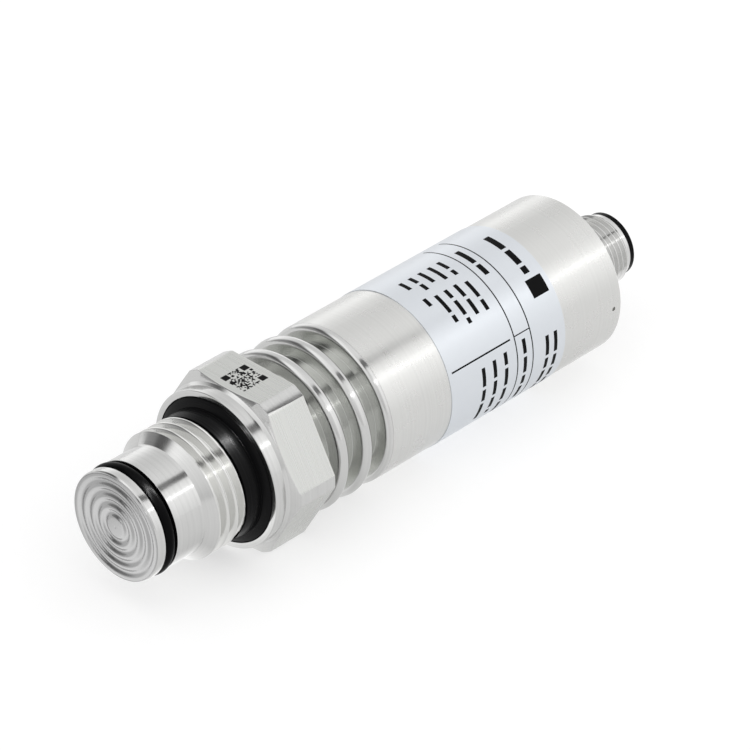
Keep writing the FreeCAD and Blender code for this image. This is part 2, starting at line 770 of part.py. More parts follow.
PIECES = {
    "process_fitting": process_fitting,
    "diaphragm": diaphragm,
    "nose_o_ring": nose_o_ring,
    "process_seal_ring": process_seal_ring,
    "housing": housing,
    "rating_label": rating_label,
    "housing_o_ring": housing_o_ring,
    "vent_filter": vent_filter,
    "sensor_header": sensor_header,
    "feedthrough_glass": feedthrough_glass,
    "feedthrough_leads": feedthrough_leads,
    "glass_pedestal": glass_pedestal,
    "sensor_chip": sensor_chip,
    "displacement_ring": displacement_ring,
    "retaining_ring": retaining_ring,
    "fill_ball": fill_ball,
    "fill_screw": fill_screw,
    "compensation_board": compensation_board,
    "main_board": main_board,
    "signal_chip": signal_chip,
    "board_capacitors": board_capacitors,
    "surge_suppressors": surge_suppressors,
    "board_carrier": board_carrier,
    "insulating_sleeve": insulating_sleeve,
    "connector_shell": connector_shell,
    "connector_insert": connector_insert,
    "contact_pins": contact_pins,
    "connector_flange_seal": connector_flange_seal,
    "connector_lock_nut": connector_lock_nut,
    "lead_wires": lead_wires,
}


def main():
    """Build each piece, lay the part on its lower hexagon flat and write the files."""
    os.makedirs("parts", exist_ok=True)
    lay_down = V(-OVERALL_L / 2, 0, HEX_AF / 2)
    for name, make in PIECES.items():
        shape = make()
        shape.translate(lay_down)
        print(name, "solids", len(shape.Solids), "valid", shape.isValid(), "volume", round(shape.Volume, 3))
        shape.exportStep("parts/" + name + ".step")


main()
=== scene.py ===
import math
import random

import bmesh
import bpy
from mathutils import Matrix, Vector


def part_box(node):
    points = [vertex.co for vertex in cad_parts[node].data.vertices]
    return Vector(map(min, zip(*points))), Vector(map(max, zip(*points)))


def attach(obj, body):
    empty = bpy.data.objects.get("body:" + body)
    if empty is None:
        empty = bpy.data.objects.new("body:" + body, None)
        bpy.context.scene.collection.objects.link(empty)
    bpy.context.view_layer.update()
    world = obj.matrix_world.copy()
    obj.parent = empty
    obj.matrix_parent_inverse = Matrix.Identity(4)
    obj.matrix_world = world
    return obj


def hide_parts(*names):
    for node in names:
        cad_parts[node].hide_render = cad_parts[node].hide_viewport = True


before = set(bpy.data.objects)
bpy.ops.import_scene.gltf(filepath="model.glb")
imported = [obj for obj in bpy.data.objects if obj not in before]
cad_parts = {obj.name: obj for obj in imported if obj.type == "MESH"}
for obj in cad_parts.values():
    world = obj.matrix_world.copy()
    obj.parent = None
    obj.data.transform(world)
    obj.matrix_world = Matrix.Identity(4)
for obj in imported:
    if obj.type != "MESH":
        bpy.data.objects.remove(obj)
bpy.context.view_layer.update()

bl_info = {
    "name": "Pressure Transmitter",
    "version": (1, 0, 0),
    "blender": (4, 5, 0),
    "location": "3D View > Sidebar > Transmitter",
    "description": "Threads, waves, print and finishes of a flush pressure transmitter",
    "category": "Object",
}

MM = 0.001
NOSE_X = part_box("diaphragm")[0].x
AXIS_Z = (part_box("housing")[0].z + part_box("housing")[1].z) / 2
FULL_TURN = 2 * math.pi
# Faces that meet at a larger angle than this keep a sharp edge
SHARP = math.radians(24)
# Largest turn from one point of a rounded corner to the next
ARC_STEP = math.radians(19)

# The hexagon in millimetres: half of its 27 mm wrench size, and the radius that its corners are turned to
HALF_FLATS = 13.5
CORNER_R = 15.0
SIXTH = math.pi / 3
FLAT_SPREAD = math.acos(HALF_FLATS / CORNER_R)

# Stations of the fitting in millimetres from the diaphragm's face
LEAD_X = 9.67
RELIEF_X = 16.5975
COLLAR_X = RELIEF_X + 3.9
HEXAGON_X = COLLAR_X + 2.5
NECK_X = HEXAGON_X + 7.85
FIN_GAP = 3.05
FIN_WIDTH = 2.0
FINS_X = (NECK_X + FIN_GAP, NECK_X + 2 * FIN_GAP + FIN_WIDTH)
SHOULDER_X = NECK_X + 3 * FIN_GAP + 2 * FIN_WIDTH

# Radii of the fitting in millimetres
NOSE_R = 9.0
THREAD_R = 10.4775
FACE_R = 13.4
# The lead cone rises at 45 degrees from the nose to the thread's crests
THREAD_X = LEAD_X + THREAD_R - NOSE_R

# Radius in millimetres at which the diaphragm's waves meet its flat rim
WAVE_RIM_R = 8.5

# Millimetres that ink starts below the skin of its piece, and that the label's ink stands proud of it
INK_SUNK = 0.01
INK_PROUD = 0.006

# Weight of the radius beside the length in the turning lines, so that faces across the axis have rings too
FACE_RINGS = 1.3
# Length over width of the lines that a mill or a mould draws
LINE_STRETCH = 60.0

# Brightness of the tent by the angle in degrees over the floor, from -Y over the top round to +Y: what
# surfaces along the body reflect, and what surfaces that face -X reflect
BODY_TENT = ((0, 1.0), (14, 1.1), (30, 1.2), (50, 1.2), (58, 1.1), (70, 1.05), (86, 1.0), (105, 0.92),
             (125, 0.85), (140, 0.88), (156, 1.1), (170, 1.3), (180, 1.3))
FACE_TENT = ((0, 0.7), (30, 0.9), (60, 1.0), (90, 1.12), (116, 1.3), (132, 0.4), (139, 0.12), (148, 0.12),
             (155, 0.3), (168, 0.35), (180, 0.6))
TENT_TOP = 2.0
# Metres from the axis to the strip softboxes
STRIP_AWAY = 0.643


def along(node, end):
    """Distance in millimetres from the diaphragm's face to the front (0) or rear (1) of a CAD node."""
    return (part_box(node)[end].x - NOSE_X) / MM


def half_height(node):
    """Largest radius of a turned CAD node in millimetres, from its height."""
    low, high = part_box(node)
    return (high.z - low.z) / 2 / MM


def linear(code):
    """Turns an sRGB hex colour into linear red, green, blue and full alpha."""
    channels = [int(code[place:place + 2], 16) / 255 for place in (1, 3, 5)]
    return tuple(c / 12.92 if c <= 0.04045 else ((c + 0.055) / 1.055) ** 2.4 for c in channels) + (1.0,)


def millimetres(name, description, default):
    """Length property whose default is given in millimetres."""
    return bpy.props.FloatProperty(name=name, description=description, default=default * MM, min=0.0,
                                   unit="LENGTH", precision=5)


def degrees(name, description, default):
    """Angle property whose default is given in degrees."""
    return bpy.props.FloatProperty(name=name, description=description, default=math.radians(default),
                                   unit="ROTATION", subtype="ANGLE")


def number(name, description, default, least=0.0):
    """Plain number property."""
    return bpy.props.FloatProperty(name=name, description=description, default=default, min=least)


def colour(name, description, code):
    """Colour property whose default is an sRGB hex value."""
    return bpy.props.FloatVectorProperty(name=name, description=description, default=linear(code), size=4,
                                         min=0.0, max=1.0, subtype="COLOR")


class TransmitterProcessEnd(bpy.types.PropertyGroup):
    """Sizes of the turned and milled fitting and of its diaphragm."""

    thread_pitch: millimetres("Thread pitch", "Pitch of the G 1/2 thread, 14 turns to the inch", 25.4 / 14)
    thread_round: millimetres("Thread rounding", "Radius of the thread's crest and root", 0.249)
    thread_crest: millimetres("First crest", "Place of a crest at the side, from the diaphragm", 12.296)
    thread_flank: degrees("Thread flank", "Angle between a flank of the thread and a cut across it", 27.5)
    wave_pitch: millimetres("Wave pitch", "Distance between the diaphragm's ridges", 1.72)
    wave_depth: millimetres("Wave depth", "Depth of the diaphragm's waves", 0.36)
    neck: millimetres("Neck radius", "Radius of the cooling neck between the fins", 10.7)
    edge: millimetres("Edge break", "Rounding that the turning tool leaves on an edge", 0.08)
    steel: colour("Turned steel", "Colour of the bare turned stainless steel", "#D6D6D5")
    milled: colour("Milled steel", "Colour of the milled hexagon flats", "#D2D3D0")
    # Foil colour is painted shade: darker for the shaded floor near the nose that the diaphragm reflects
    foil: colour("Diaphragm foil", "Colour of the pressed foil", "#AEAEAE")
    # Thread steel is painted light: a brighter colour that lifts the shade in the thread's grooves
    chased: colour("Thread steel", "Colour of the bright steel of the thread", "#E1E1DF")
    # Groove steel is painted shade: a darker colour for the shaded neck between the fins
    groove: colour("Groove steel", "Colour of the steel between the fins, darker as painted shade", "#D0D1CE")


class TransmitterHousing(bpy.types.PropertyGroup):
    """Finishes of the housing and layout of the print on its label."""

    steel: colour("Housing steel", "Colour of the satin stainless tube", "#DDDDDB")
    film: colour("Label film", "Colour of the label's silver film", "#DBDFE4")
    ink: colour("Ink", "Colour of the print", "#0B0B0C")
    rule_width: millimetres("Rule width", "Width of the two rules round the label", 0.22)
    line_width: millimetres("Line width", "Width of the line along the label", 0.28)
    bar_height: millimetres("Bar height", "Height of the plain bars in the rows", 0.75)


class TransmitterPlug(bpy.types.PropertyGroup):
    """Sizes and finishes of the plug."""

    thread_pitch: millimetres("Thread pitch", "Pitch of the M12 thread", 1.0)
    thread_crest: millimetres("First crest", "Place of a crest at the side, from the diaphragm", 99.82)
    shell: colour("Shell", "Colour of the plug's bright shell", "#D9D9D8")
    insert: colour("Insert", "Colour of the black insert", "#080809")


class TransmitterStage(bpy.types.PropertyGroup):
    """Floor, light and camera."""

    floor: colour("Floor", "Colour of the plain floor", "#BCBCBC")
    glow: number("Glow", "Light that comes through the floor beside the part", 0.4)
    glow_under: number("Glow under the part", "Light that comes through the floor below the part", 1.0)
    glow_seen: number("Glow seen", "Light of the floor that the camera sees, even all over", 0.55)
    strip: number("Strip", "Brightness of the strip softbox", 2.4)
    rubber_strip: number("Rubber strip", "Brightness of the softbox for the seals", 170.0)
    backdrop: number("Backdrop", "Brightness of the white backdrop", 1.0)
    lens: number("Lens", "Focal length in millimetres", 230.62, 1.0)
    place: bpy.props.FloatVectorProperty(
        name="Camera place", description="Place of the camera", default=(-0.43910, -0.42650, 0.42559),
        unit="LENGTH", subtype="TRANSLATION")
    view: bpy.props.FloatVectorProperty(
        name="Camera view", description="Direction that the camera looks in",
        default=(0.5956, 0.5780, -0.5577), subtype="DIRECTION")


def node(tree, kind, inputs=None, **settings):
    """Adds one node, sets its properties, and links or fills its inputs."""
    new = tree.nodes.new(kind)
    for name, value in settings.items():
        setattr(new, name, value)
    for key, value in (inputs or {}).items():
        if isinstance(value, bpy.types.NodeSocket):
            tree.links.new(value, new.inputs[key])
        else:
            new.inputs[key].default_value = value
    return new


def new_material(name):
    """Empty material with its principled shader, as the tree and the shader."""
    material = bpy.data.materials.new(name)
    material.use_nodes = True
    tree = material.node_tree
    tree.nodes.clear()
    shader = node(tree, "ShaderNodeBsdfPrincipled")
    node(tree, "ShaderNodeOutputMaterial", {"Surface": shader.outputs["BSDF"]})
    return material, tree, shader


def lathe_lines(tree, spacing):
    """Noise that changes along the cut only, so it draws rings on a turned face. Spacing in millimetres.

    Real turning lines lie 0.05 to 0.1 mm apart, too fine to show, so they are drawn coarser.
    """
    place = node(tree, "ShaderNodeTexCoord").outputs["Object"]
    parts = node(tree, "ShaderNodeSeparateXYZ", {0: place})
    height = node(tree, "ShaderNodeMath", {0: parts.outputs["Z"], 1: AXIS_Z}, operation="SUBTRACT")
    flat = node(tree, "ShaderNodeCombineXYZ", {"Y": parts.outputs["Y"], "Z": height.outputs[0]})
    reach = node(tree, "ShaderNodeVectorMath", {0: flat.outputs[0]}, operation="LENGTH")
    cut = node(tree, "ShaderNodeMath", {0: reach.outputs["Value"], 1: FACE_RINGS, 2: parts.outputs["X"]},
               operation="MULTIPLY_ADD")
    count = node(tree, "ShaderNodeMath", {0: cut.outputs[0], 1: 1 / (spacing * MM)}, operation="MULTIPLY")
    return node(tree, "ShaderNodeTexNoise", {"W": count.outputs[0], "Scale": 1.0, "Detail": 1.0},
                noise_dimensions="1D").outputs["Fac"]


def grain(tree, size, detail=3.0, stretch=(1.0, 1.0, 1.0)):
    """Cloudy noise with a grain size in millimetres, stretched along an axis by numbers above one."""
    place = node(tree, "ShaderNodeTexCoord").outputs["Object"]
    scaled = node(tree, "ShaderNodeVectorMath", {0: place, 1: [1 / (size * MM * s) for s in stretch]},
                  operation="MULTIPLY")
    return node(tree, "ShaderNodeTexNoise", {"Vector": scaled.outputs[0], "Scale": 1.0, "Detail": detail}
                ).outputs["Fac"]


def surface(tree, shader, pattern, base, amount, smooth, rough, depth, cloud=None):
    """Lets a pattern darken the colour, change the gloss and raise the skin. Depth in millimetres."""
    dark = tuple(channel * (1 - amount) for channel in base[:3]) + (1.0,)
    tint = node(tree, "ShaderNodeMix", {0: pattern, 6: dark, 7: tuple(base)}, data_type="RGBA")
    gloss = node(tree, "ShaderNodeMapRange", {"Value": cloud or pattern, "From Min": 0.3, "From Max": 0.7,
                                              "To Min": smooth, "To Max": rough})
    bump = node(tree, "ShaderNodeBump", {"Height": pattern, "Distance": depth * MM, "Strength": 1.0})
    tree.links.new(tint.outputs[2], shader.inputs["Base Color"])
    tree.links.new(gloss.outputs[0], shader.inputs["Roughness"])
    tree.links.new(bump.outputs[0], shader.inputs["Normal"])


def turned_stainless(name, base, smooth, rough, depth, spacing=0.6, amount=0.06):
    """Stainless steel turned on a lathe: fine rings draw each reflection out across the cut."""
    material, tree, shader = new_material(name)
    shader.inputs["Metallic"].default_value = 1.0
    cloud = grain(tree, 4.0)
    surface(tree, shader, lathe_lines(tree, spacing), base, amount, smooth, rough, depth, cloud)
    return material


def milled_stainless(name, base):
    """Stainless steel milled across: straight fine lines over a satin face."""
    material, tree, shader = new_material(name)
    shader.inputs["Metallic"].default_value = 1.0
    lines = grain(tree, 0.35, 2.0, (1.0, LINE_STRETCH, LINE_STRETCH))
    surface(tree, shader, lines, base, amount=0.1, smooth=0.24, rough=0.34, depth=0.0003)
    return material


def pressed_foil(name, base):
    """Rolled stainless foil pressed over a die: bright, with a faint cloudy skin."""
    material, tree, shader = new_material(name)
    shader.inputs["Metallic"].default_value = 1.0
    surface(tree, shader, grain(tree, 0.6), base, amount=0.07, smooth=0.16, rough=0.24, depth=0.0003)
    return material


def grained(name, base, amount, size, rough, depth, metallic=0.0, ior=None, coat=0.0, gloss=0.5,
            stretch=(1.0, 1.0, 1.0)):
    """Moulded, fired, plated or rolled skin: a grain in colour, gloss and relief. Sizes in millimetres."""
    material, tree, shader = new_material(name)
    shader.inputs["Metallic"].default_value = metallic
    shader.inputs["Coat Weight"].default_value = coat
    shader.inputs["Specular IOR Level"].default_value = gloss
    if ior is not None:
        shader.inputs["IOR"].default_value = ior
    pattern = grain(tree, size, 3.0, stretch)
    surface(tree, shader, pattern, base, amount, rough * 0.9, rough * 1.1, depth)
    return material


def fused_glass(name):
    """Sealing glass fused in place: greenish, glossy and partly clear."""
    material, tree, shader = new_material(name)
    shader.inputs["IOR"].default_value = 1.52
    shader.inputs["Transmission Weight"].default_value = 0.6
    surface(tree, shader, grain(tree, 0.4), linear("#9FB3A8"), amount=0.2, smooth=0.05, rough=0.12,
            depth=0.002)
    return material


def solder_mask_board(name):
    """Glass epoxy board under green solder mask: straight tracks stand out paler under the mask."""
    material, tree, shader = new_material(name)
    shader.inputs["IOR"].default_value = 1.5
    place = node(tree, "ShaderNodeTexCoord").outputs["Object"]
    cells = node(tree, "ShaderNodeTexVoronoi", {"Vector": place, "Scale": 1 / (1.4 * MM)},
                 distance="MANHATTAN", feature="F2")
    tracks = node(tree, "ShaderNodeMath", {0: cells.outputs["Distance"], 1: 6.0}, operation="PINGPONG")
    tracks = node(tree, "ShaderNodeMath", {0: tracks.outputs[0], 1: 0.75}, operation="GREATER_THAN")
    surface(tree, shader, tracks.outputs[0], linear("#2A7A43"), amount=0.55, smooth=0.28, rough=0.4,
            depth=0.02, cloud=grain(tree, 0.5))
    return material


def soften(points):
    """Rounds the corners of a line of (x, r) or (x, r, radius) in millimetres. The ends stay as they are."""
    result = [points[0][:2]]
    for before, here, after in zip(points, points[1:], points[2:]):
        radius = here[2] if len(here) > 2 else 0.0
        spot = Vector(here[:2])
        back = (Vector(before[:2]) - spot).normalized()
        ahead = (Vector(after[:2]) - spot).normalized()
        opening = back.angle(ahead)
        if radius == 0.0 or opening > math.pi - 0.01:
            result.append(here[:2])
            continue
        centre = spot + (back + ahead).normalized() * radius / math.sin(opening / 2)
        start = spot + back * radius / math.tan(opening / 2) - centre
        end = spot + ahead * radius / math.tan(opening / 2) - centre
        bend = math.pi - opening
        steps = max(2, math.ceil(bend / ARC_STEP))
        for step in range(steps + 1):
            part = step / steps * bend
            arm = (start * math.sin(bend - part) + end * math.sin(part)) / math.sin(bend)
            result.append(tuple(centre + arm))
    result.append(points[-1][:2])
    return result


def rings_of(points):
    """Plain rings, the same all the way round, from a line of (x, r)."""
    return [lambda turn, spot=spot: spot for spot in points]


def refined(points, step):
    """Splits the long runs of a line so that none is longer than the step."""
    result = [points[0]]
    for start, end in zip(points, points[1:]):
        pieces = max(1, math.ceil(math.dist(start, end) / step - 1e-6))
        for piece in range(1, pieces + 1):
            share = piece / pieces
            result.append((start[0] + (end[0] - start[0]) * share, start[1] + (end[1] - start[1]) * share))
    return result


def thread_rings(corners, pitch, crest_x, crest_r, x_from, x_to, limit):
    """Right-hand helix between two stations. Its groove deepens behind the start; limit(x) trims its end."""
    spare = 2
    run_in = pitch / 4
    turns = math.ceil((x_to - x_from) / pitch) + 2 * spare + 1
    first = math.floor((x_from - crest_x) / pitch) - spare
    line = []
    for turn in range(first, first + turns):
        line += [(spot[0] + turn * pitch,) + spot[1:] for spot in corners]
    rings = []
    for run, radius in refined(soften(line), pitch / 16):
        def ring(turn, run=run, radius=radius):
            x = min(max(crest_x + run + pitch * turn / FULL_TURN, x_from), x_to)
            start = min((x - x_from) / run_in, 1.0)
            depth = (crest_r - radius) * start * start * (3 - 2 * start)
            return x, min(crest_r - depth, limit(x))
        rings.append(ring)
    return rings


def spot_on(x, r, turn):
    """Point of a turned body in metres, from millimetres along and off the axis. The turn starts at +Y."""
    return (NOSE_X + x * MM, r * MM * math.cos(turn), AXIS_Z + r * MM * math.sin(turn))


def even_turns(count):
    """Evenly spaced turns, with the first one again at the end."""
    return [FULL_TURN * step / count for step in range(count + 1)]


def finish_piece(name, work, materials):
    """Makes a new piece from its faces, shades it and ties it to the body and to its material slot."""
    mesh = bpy.data.meshes.new(name)
    work.to_mesh(mesh)
    work.free()
    for material in materials:
        mesh.materials.append(material)
    mesh.shade_smooth()
    mesh.set_sharp_from_angle(angle=SHARP)
    piece = bpy.data.objects.new(name, mesh)
    bpy.context.scene.collection.objects.link(piece)
    even = piece.modifiers.new("Even faces", "WEIGHTED_NORMAL")
    even.keep_sharp = True
    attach(piece, "root")
    return piece


def skin(name, rings, turns, materials):
    """Closed turned piece: each ring gives (x, r) for a turn, and the last ring joins the first."""
    wide = len(turns)
    work = bmesh.new()
    spots = [work.verts.new(spot_on(*ring(turn), turn)) for ring in rings for turn in turns]
    for row in range(len(rings)):
        low = row * wide
        high = (row + 1) % len(rings) * wide
        for col in range(wide - 1):
            work.faces.new([spots[at] for at in (low + col, low + col + 1, high + col + 1, high + col)])
    bmesh.ops.remove_doubles(work, verts=work.verts, dist=2e-7)
    bmesh.ops.dissolve_degenerate(work, edges=work.edges, dist=1e-7)
    bmesh.ops.recalc_face_normals(work, faces=work.faces)
    return finish_piece(name, work, materials)


def dress(material, *names):
    """Gives a finish to CAD nodes."""
    for name in names:
        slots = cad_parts[name].data.materials
        slots.clear()
        slots.append(material)


def hexagon_reach(turn):
    """Distance in millimetres from the axis to the hexagon, whose corners are turned down."""
    from_flat = turn % SIXTH - SIXTH / 2
    return min(HALF_FLATS / math.cos(from_flat), CORNER_R)


def hexagon_turns():
    """Turns that put a column on each end of every flat."""
    turns = []
    corner = SIXTH / 2 - FLAT_SPREAD
    corner_steps, flat_steps = 3, 36
    for side in range(6):
        middle = (side + 0.5) * SIXTH
        turns += [middle - SIXTH / 2 + corner * step / corner_steps for step in range(corner_steps)]
        turns += [middle + FLAT_SPREAD * (2 * step / flat_steps - 1) for step in range(flat_steps + 1)]
        turns += [middle + FLAT_SPREAD + corner * step / corner_steps for step in range(1, corner_steps)]
    return turns + [FULL_TURN]


def hexagon_rings(front, rear, face_r, edge):
    """Slanted front face, flats with turned corners, and the rear edge, each edge a little rounded."""
    slope = math.tan(math.radians(20))
    sink = 0.05
    rings = []
    for inward, onward in ((1.0, 0.0), (0.3, 0.3), (0.0, 1.0)):
        def ring(turn, inward=inward, onward=onward):
            reach = hexagon_reach(turn)
            back = min(edge, (reach - face_r) / 2) * inward
            x = front + (reach - back - face_r) * slope + edge * onward
            return x, reach - edge * sink * inward - back
        rings.append(ring)
    for inward, onward in ((0.0, 1.0), (0.3, 0.3), (1.0, 0.0)):
        def ring(turn, inward=inward, onward=onward):
            return rear - edge * onward, hexagon_reach(turn) - edge * inward
        rings.append(ring)
    return rings


def fitting_rings(sizes):
    """All rings of the fitting from the oil gap over the outside to the sensor's bore and back."""
    edge = sizes.edge / MM

    # Oil channel, oil gap, seat of the foil, rim of the nose, groove of its O-ring and lead cone
    channel_r = 0.75
    gap_x, gap_r = 0.72, 8.5
    seat_x, seat_r = 0.2, 8.75
    rim_x = 0.45
    ring_front, ring_rear, ring_r, ring_round = 1.7, 4.1, 7.2, 0.2
    front = soften([
        (gap_x, channel_r), (gap_x, gap_r), (seat_x, gap_r), (seat_x, seat_r), (rim_x, NOSE_R, edge),
        (ring_front, NOSE_R, edge), (ring_front, ring_r, ring_round), (ring_rear, ring_r, ring_round),
        (ring_rear, NOSE_R, edge), (LEAD_X, NOSE_R, 0.1), (THREAD_X, THREAD_R),
    ])

    # Pipe thread of 55 degrees: crest and root are rounded alike
    pitch = sizes.thread_pitch / MM
    round_r = sizes.thread_round / MM
    over = round_r * (1 / math.sin(sizes.thread_flank) - 1)
    deep = pitch / 2 / math.tan(sizes.thread_flank)
    corners = [(0.0, THREAD_R + over, round_r), (pitch / 2, THREAD_R + over - deep, round_r)]
    chamfer = 0.12
    thread = thread_rings(corners, pitch, sizes.thread_crest / MM, THREAD_R, THREAD_X, RELIEF_X,
                          lambda x: THREAD_R - max(x - RELIEF_X + chamfer, 0.0))

    # Relief behind the thread, recess for the profile seal, and collar
    relief_r = 9.2
    recess_x, recess_r = COLLAR_X + 1.6, 12.0
    collar_rear, collar_r = COLLAR_X + 2.0, 13.0
    middle = soften([
        (RELIEF_X, relief_r), (recess_x, relief_r), (recess_x, recess_r), (COLLAR_X, recess_r, edge),
        (COLLAR_X, collar_r, 0.15), (collar_rear, collar_r, 0.1), (HEXAGON_X, FACE_R),
    ])

    # Cooling neck with two round-edged fins
    neck_r, foot = sizes.neck / MM, 0.06
    fin_r, fin_round = 13.4, 0.99
    fins = [(NECK_X, 13.2), (NECK_X, neck_r, foot)]
    for fin in FINS_X:
        fins += [(fin, neck_r, foot), (fin, fin_r, fin_round), (fin + FIN_WIDTH, fin_r, fin_round),
                 (fin + FIN_WIDTH, neck_r, foot)]

    # Shoulder, joint inside the housing with its O-ring groove, and back through the sensor's bore
    outer, shoulder_round = half_height("housing"), 0.9
    housing, joint_end, joint_r = along("housing", 0), 53.0975, 12.095
    seal_front, seal_rear, seal_r = housing + 2.4, housing + 4.4, 10.825
    step_x, bore_r = along("sensor_header", 0), 6.43
    pocket_x, pocket_r = along("displacement_ring", 0) - 0.15, 5.5
    fins += [
        (SHOULDER_X, neck_r, foot), (SHOULDER_X, outer, shoulder_round), (housing, outer, 0.05),
        (housing, joint_r), (seal_front, joint_r), (seal_front, seal_r), (seal_rear, seal_r),
        (seal_rear, joint_r), (joint_end, joint_r, edge), (joint_end, bore_r), (step_x, bore_r),
        (step_x, pocket_r), (pocket_x, pocket_r), (pocket_x, channel_r),
    ]
    return (rings_of(front) + thread + rings_of(middle) + hexagon_rings(HEXAGON_X, NECK_X, FACE_R, edge)
            + rings_of(soften(fins)))


def steel_of(face):
    """Number of a face's steel: 0 turned, 1 milled (flats), 2 darker steel as painted shade (neck), 3
    brighter steel as painted light (thread).
    """
    x = (face.center.x - NOSE_X) / MM
    turn = math.atan2(face.center.z - AXIS_Z, face.center.y)
    reach = math.hypot(face.center.z - AXIS_Z, face.center.y) / MM
    level = math.cos(turn % SIXTH - SIXTH / 2) * reach
    past = 0.0525  # keeps the wall and the small rounding in front of a zone out of it
    fin_walls_r = 12.3
    if abs(face.normal.x) < 0.01 and abs(level - HALF_FLATS) < 0.02:
        return 1
    # Faces on the neck between the fins take the darker steel: painted shade
    if NECK_X + past < x < SHOULDER_X + past and reach < fin_walls_r:
        return 2
    # Faces of the thread take the brighter steel: painted light
    if THREAD_X + past < x < RELIEF_X + past and reach > NOSE_R:
        return 3
    return 0


class TRANSMITTER_OT_fitting(bpy.types.Operator):
    """Makes the turned fitting with its thread, hexagon and fins"""

    bl_idname = "transmitter.fitting"
    bl_label = "Process fitting"

    def execute(self, context):
        sizes = context.scene.transmitter_process
        # Stainless steel turned with a fine feed: bright, with faint rings that draw the highlights out
        steel = turned_stainless("turned stainless steel", sizes.steel, smooth=0.13, rough=0.19, depth=0.0001,
                                 spacing=0.5, amount=0.12)
        # Stainless steel milled across the flats: satin, with straight fine lines
        flats = milled_stainless("milled stainless steel", sizes.milled)
        # Turned steel between the fins, greyer and duller: its darker colour is painted shade in the grooves
        # between the fins
        groove = turned_stainless("turned stainless steel with painted groove shade", sizes.groove, smooth=0.14, rough=0.2,
                                  depth=0.0003)
        # Thread steel painted brighter so that light still shows after two bounces in the groove: painted
        # light that lifts the shade in the thread's grooves
        chased = turned_stainless("thread steel brightened as painted light", sizes.chased, smooth=0.12, rough=0.17,
                                  depth=0.0001, spacing=0.5, amount=0.08)
        piece = skin("turned_fitting", fitting_rings(sizes), hexagon_turns(), [steel, flats, groove, chased])
        for face in piece.data.polygons:
            face.material_index = steel_of(face)
        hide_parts("process_fitting")
        dress(steel, "process_fitting")
        return {"FINISHED"}


def wave_line(sizes, lift):
    """Line of the pressed waves from the centre to the flat rim, on one side of the foil."""
    pitch = sizes.wave_pitch / MM
    deep = sizes.wave_depth / MM
    waves, steps, flat_r = 4, 18, 1.5
    centre_mark = [(lift + 0.06, 0.0), (lift + 0.05, 0.12), (lift, 0.22)]
    line = centre_mark + [(lift, flat_r)]
    for step in range(1, waves * steps + 1):
        sag = (1 - math.cos(step / steps * FULL_TURN)) / 2
        line.append((lift + deep * sag, flat_r + pitch * step / steps))
    return line + [(lift, WAVE_RIM_R)]


class TRANSMITTER_OT_diaphragm(bpy.types.Operator):
    """Makes the pressed foil diaphragm with its waves and its welded edge"""

    bl_idname = "transmitter.diaphragm"
    bl_label = "Diaphragm"

    def execute(self, context):
        sizes = context.scene.transmitter_process
        # Rolled stainless foil pressed into waves, with soft rings of light: its colour is painted darker
        # than the turned steel as painted shade, for the shaded floor that the face reflects
        foil = pressed_foil("pressed stainless foil with painted shade", sizes.foil)
        thick, disc_r, disc_round = 0.2, 8.85, 0.06
        weld_r, weld_half, weld_deep = 8.73, 0.03, 0.03
        front = wave_line(sizes, 0.0) + soften([
            (0.0, WAVE_RIM_R + 0.1), (0.0, weld_r - weld_half), (weld_deep, weld_r),
            (0.0, weld_r + weld_half), (0.0, disc_r, disc_round), (thick, disc_r),
        ])
        back = wave_line(sizes, thick)[::-1]
        piece = skin("pressed_diaphragm", rings_of(front + back), even_turns(240), [foil])
        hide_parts("diaphragm")
        dress(foil, "diaphragm")
        return {"FINISHED"}


class TRANSMITTER_OT_seals(bpy.types.Operator):
    """Makes the profile seal behind the thread and gives the O-rings their rubber"""

    bl_idname = "transmitter.seals"
    bl_label = "Seals"

    def execute(self, context):
        # Moulded nitrile rubber: deep black with a soft sheen along its round section
        smooth = grained("moulded nitrile rubber", linear("#0B0B0C"), amount=0.2, size=0.4, rough=0.24,
                         depth=0.0004, ior=1.52, gloss=0.03)
        # Moulded and trimmed rubber profile: duller than the ring, with faint rings from its mould
        dull = grained("trimmed rubber profile", linear("#131314"), amount=0.5, size=0.3, rough=0.26,
                       depth=0.006, ior=1.52, gloss=0.06, stretch=(1.0, LINE_STRETCH, LINE_STRETCH))
        front, back = along("process_seal_ring", 0), along("process_seal_ring", 1)
        bore_r, tip_r, bush_r, lip_foot_r = 9.23, 10.15, 10.45, 11.25
        lip_r = half_height("process_seal_ring")
        band = front + 1.35
        crease = back - 2.1
        line = soften([
            (front, bore_r), (front, tip_r, 0.1), (band, bush_r - 0.08, 0.08), (band + 0.1, bush_r, 0.08),
            (crease - 0.2, bush_r, 0.1), (crease, tip_r, 0.08), (crease, bush_r + 0.08, 0.15),
            (crease + 0.26, lip_foot_r, 0.6), (crease + 0.5, lip_r - 0.1, 0.2), (back, lip_r), (back, bore_r),
        ])
        rings = rings_of(line + [(front, bore_r)])
        piece = skin("profile_seal", rings, even_turns(180), [dull])
        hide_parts("process_seal_ring")
        dress(dull, "process_seal_ring")
        dress(smooth, "nose_o_ring", "housing_o_ring", "connector_flange_seal")
        return {"FINISHED"}


class TRANSMITTER_OT_housing(bpy.types.Operator):
    """Gives the housing tube and the vent their finishes"""

    bl_idname = "transmitter.housing"
    bl_label = "Housing"

    def execute(self, context):
        # Stainless tube turned and then rubbed satin: pale, with wide soft bands of light and faint rings
        steel = turned_stainless("satin turned stainless tube", context.scene.transmitter_housing.steel,
                                 smooth=0.26, rough=0.3, depth=0.0001, spacing=0.45, amount=0.08)
        dress(steel, "housing")
        # Sintered PTFE plug: dull white with fine pores
        dress(grained("sintered PTFE", linear("#E8E8E4"), amount=0.2, size=0.08, rough=0.7, depth=0.02,
                      ior=1.38), "vent_filter")
        return {"FINISHED"}


